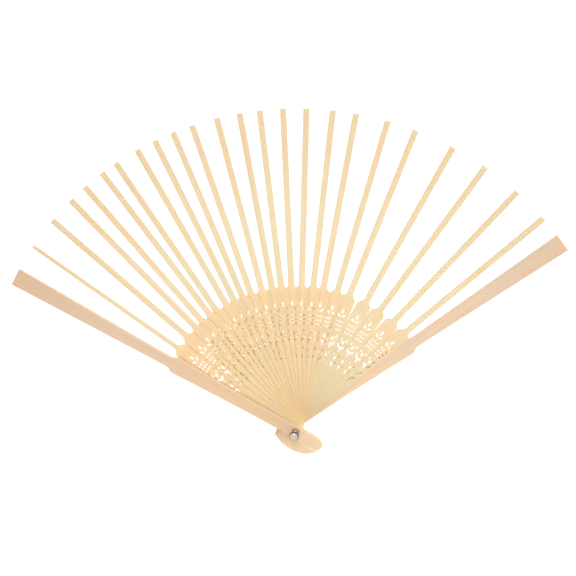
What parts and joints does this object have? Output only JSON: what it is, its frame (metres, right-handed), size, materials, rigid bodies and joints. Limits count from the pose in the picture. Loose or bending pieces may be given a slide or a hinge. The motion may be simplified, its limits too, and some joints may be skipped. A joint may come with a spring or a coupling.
{
  "type": "folding fan stick set",
  "caption": "Folding hand fan stick set, lying open: plain guard sticks and pierced ribs with narrow slips, on a domed rivet.",
  "frame": {"origin": "on the rivet's axis, at the underside of the lower guard stick, which the fan lies on", "axes": "+Z along the rivet, up through the stack of sticks; +Y towards the tips, along the middle of the spread fan; +X across the spread, from the upper guard's side to the lower guard's side"},
  "size_m": [0.3614, 0.2312, 0.0347],
  "materials": {
    "guard_wood": "smooth, unvarnished",
    "rib_wood": "smooth, unvarnished",
    "rivet_metal": "polished"
  },
  "bodies": {
    "lower_guard": {"guard_stick_lower": "guard_wood", "rivet_pin": "rivet_metal", "rivet_cap": "rivet_metal", "rivet_washer_upper": "rivet_metal", "rivet_washer_lower": "rivet_metal"},
    "upper_guard": {"guard_stick_upper": "guard_wood"},
    "rib_01": {"rib_01": "rib_wood"},
    "rib_02": {"rib_02": "rib_wood"},
    "rib_03": {"rib_03": "rib_wood"},
    "rib_04": {"rib_04": "rib_wood"},
    "rib_05": {"rib_05": "rib_wood"},
    "rib_06": {"rib_06": "rib_wood"},
    "rib_07": {"rib_07": "rib_wood"},
    "rib_08": {"rib_08": "rib_wood"},
    "rib_09": {"rib_09": "rib_wood"},
    "rib_10": {"rib_10": "rib_wood"},
    "rib_11": {"rib_11": "rib_wood"},
    "rib_12": {"rib_12": "rib_wood"},
    "rib_13": {"rib_13": "rib_wood"},
    "rib_14": {"rib_14": "rib_wood"},
    "rib_15": {"rib_15": "rib_wood"},
    "rib_16": {"rib_16": "rib_wood"},
    "rib_17": {"rib_17": "rib_wood"},
    "rib_18": {"rib_18": "rib_wood"},
    "rib_19": {"rib_19": "rib_wood"},
    "rib_20": {"rib_20": "rib_wood"},
    "rib_21": {"rib_21": "rib_wood"},
    "rib_22": {"rib_22": "rib_wood"},
    "rib_23": {"rib_23": "rib_wood"}
  },
  "joints": [
    {"name": "fan_opening", "type": "hinge", "parent": "lower_guard", "child": "upper_guard", "pos_m": [0, 0, 0.0244], "axis": [0, 0, 1], "range_deg": [-114.5, 65.5]},
    {"name": "rib_01_swivel", "type": "hinge", "parent": "lower_guard", "child": "rib_01", "pos_m": [0, 0, 0.0029], "axis": [0, 0, 1], "range_deg": [-5.51, 3.16]},
    {"name": "rib_02_swivel", "type": "hinge", "parent": "lower_guard", "child": "rib_02", "pos_m": [0, 0, 0.0038], "axis": [0, 0, 1], "range_deg": [-12.01, 6.88]},
    {"name": "rib_03_swivel", "type": "hinge", "parent": "lower_guard", "child": "rib_03", "pos_m": [0, 0, 0.0047], "axis": [0, 0, 1], "range_deg": [-19.01, 10.88]},
    {"name": "rib_04_swivel", "type": "hinge", "parent": "lower_guard", "child": "rib_04", "pos_m": [0, 0, 0.0056], "axis": [0, 0, 1], "range_deg": [-25.51, 14.6]},
    {"name": "rib_05_swivel", "type": "hinge", "parent": "lower_guard", "child": "rib_05", "pos_m": [0, 0, 0.0065], "axis": [0, 0, 1], "range_deg": [-32.51, 18.6]},
    {"name": "rib_06_swivel", "type": "hinge", "parent": "lower_guard", "child": "rib_06", "pos_m": [0, 0, 0.0074], "axis": [0, 0, 1], "range_deg": [-37.51, 21.46]},
    {"name": "rib_07_swivel", "type": "hinge", "parent": "lower_guard", "child": "rib_07", "pos_m": [0, 0, 0.0083], "axis": [0, 0, 1], "range_deg": [-43.01, 24.61]},
    {"name": "rib_08_swivel", "type": "hinge", "parent": "lower_guard", "child": "rib_08", "pos_m": [0, 0, 0.0092], "axis": [0, 0, 1], "range_deg": [-47.01, 26.9]},
    {"name": "rib_09_swivel", "type": "hinge", "parent": "lower_guard", "child": "rib_09", "pos_m": [0, 0, 0.0101], "axis": [0, 0, 1], "range_deg": [-51.51, 29.47]},
    {"name": "rib_10_swivel", "type": "hinge", "parent": "lower_guard", "child": "rib_10", "pos_m": [0, 0, 0.011], "axis": [0, 0, 1], "range_deg": [-55.51, 31.76]},
    {"name": "rib_11_swivel", "type": "hinge", "parent": "lower_guard", "child": "rib_11", "pos_m": [0, 0, 0.0119], "axis": [0, 0, 1], "range_deg": [-59.51, 34.05]},
    {"name": "rib_12_swivel", "type": "hinge", "parent": "lower_guard", "child": "rib_12", "pos_m": [0, 0, 0.0128], "axis": [0, 0, 1], "range_deg": [-63.01, 36.05]},
    {"name": "rib_13_swivel", "type": "hinge", "parent": "lower_guard", "child": "rib_13", "pos_m": [0, 0, 0.0137], "axis": [0, 0, 1], "range_deg": [-67.01, 38.34]},
    {"name": "rib_14_swivel", "type": "hinge", "parent": "lower_guard", "child": "rib_14", "pos_m": [0, 0, 0.0146], "axis": [0, 0, 1], "range_deg": [-71.51, 40.91]},
    {"name": "rib_15_swivel", "type": "hinge", "parent": "lower_guard", "child": "rib_15", "pos_m": [0, 0, 0.0155], "axis": [0, 0, 1], "range_deg": [-75.01, 42.91]},
    {"name": "rib_16_swivel", "type": "hinge", "parent": "lower_guard", "child": "rib_16", "pos_m": [0, 0, 0.0164], "axis": [0, 0, 1], "range_deg": [-78.51, 44.92]},
    {"name": "rib_17_swivel", "type": "hinge", "parent": "lower_guard", "child": "rib_17", "pos_m": [0, 0, 0.0173], "axis": [0, 0, 1], "range_deg": [-82.01, 46.92]},
    {"name": "rib_18_swivel", "type": "hinge", "parent": "lower_guard", "child": "rib_18", "pos_m": [0, 0, 0.0182], "axis": [0, 0, 1], "range_deg": [-86.51, 49.49]},
    {"name": "rib_19_swivel", "type": "hinge", "parent": "lower_guard", "child": "rib_19", "pos_m": [0, 0, 0.0191], "axis": [0, 0, 1], "range_deg": [-89.51, 51.21]},
    {"name": "rib_20_swivel", "type": "hinge", "parent": "lower_guard", "child": "rib_20", "pos_m": [0, 0, 0.02], "axis": [0, 0, 1], "range_deg": [-93.51, 53.5]},
    {"name": "rib_21_swivel", "type": "hinge", "parent": "lower_guard", "child": "rib_21", "pos_m": [0, 0, 0.0209], "axis": [0, 0, 1], "range_deg": [-97.01, 55.5]},
    {"name": "rib_22_swivel", "type": "hinge", "parent": "lower_guard", "child": "rib_22", "pos_m": [0, 0, 0.0218], "axis": [0, 0, 1], "range_deg": [-102.01, 58.36]},
    {"name": "rib_23_swivel", "type": "hinge", "parent": "lower_guard", "child": "rib_23", "pos_m": [0, 0, 0.0227], "axis": [0, 0, 1], "range_deg": [-108.01, 61.79]}
  ],
  "couplings": [
    {"joint": "rib_01_swivel", "follows": "fan_opening", "ratio": 0.048035},
    {"joint": "rib_02_swivel", "follows": "fan_opening", "ratio": 0.1048},
    {"joint": "rib_03_swivel", "follows": "fan_opening", "ratio": 0.16594},
    {"joint": "rib_04_swivel", "follows": "fan_opening", "ratio": 0.22271},
    {"joint": "rib_05_swivel", "follows": "fan_opening", "ratio": 0.28384},
    {"joint": "rib_06_swivel", "follows": "fan_opening", "ratio": 0.32751},
    {"joint": "rib_07_swivel", "follows": "fan_opening", "ratio": 0.37555},
    {"joint": "rib_08_swivel", "follows": "fan_opening", "ratio": 0.41048},
    {"joint": "rib_09_swivel", "follows": "fan_opening", "ratio": 0.44978},
    {"joint": "rib_10_swivel", "follows": "fan_opening", "ratio": 0.48472},
    {"joint": "rib_11_swivel", "follows": "fan_opening", "ratio": 0.51965},
    {"joint": "rib_12_swivel", "follows": "fan_opening", "ratio": 0.55022},
    {"joint": "rib_13_swivel", "follows": "fan_opening", "ratio": 0.58515},
    {"joint": "rib_14_swivel", "follows": "fan_opening", "ratio": 0.62445},
    {"joint": "rib_15_swivel", "follows": "fan_opening", "ratio": 0.65502},
    {"joint": "rib_16_swivel", "follows": "fan_opening", "ratio": 0.68559},
    {"joint": "rib_17_swivel", "follows": "fan_opening", "ratio": 0.71616},
    {"joint": "rib_18_swivel", "follows": "fan_opening", "ratio": 0.75546},
    {"joint": "rib_19_swivel", "follows": "fan_opening", "ratio": 0.78166},
    {"joint": "rib_20_swivel", "follows": "fan_opening", "ratio": 0.81659},
    {"joint": "rib_21_swivel", "follows": "fan_opening", "ratio": 0.84716},
    {"joint": "rib_22_swivel", "follows": "fan_opening", "ratio": 0.89083},
    {"joint": "rib_23_swivel", "follows": "fan_opening", "ratio": 0.94323}
  ]
}
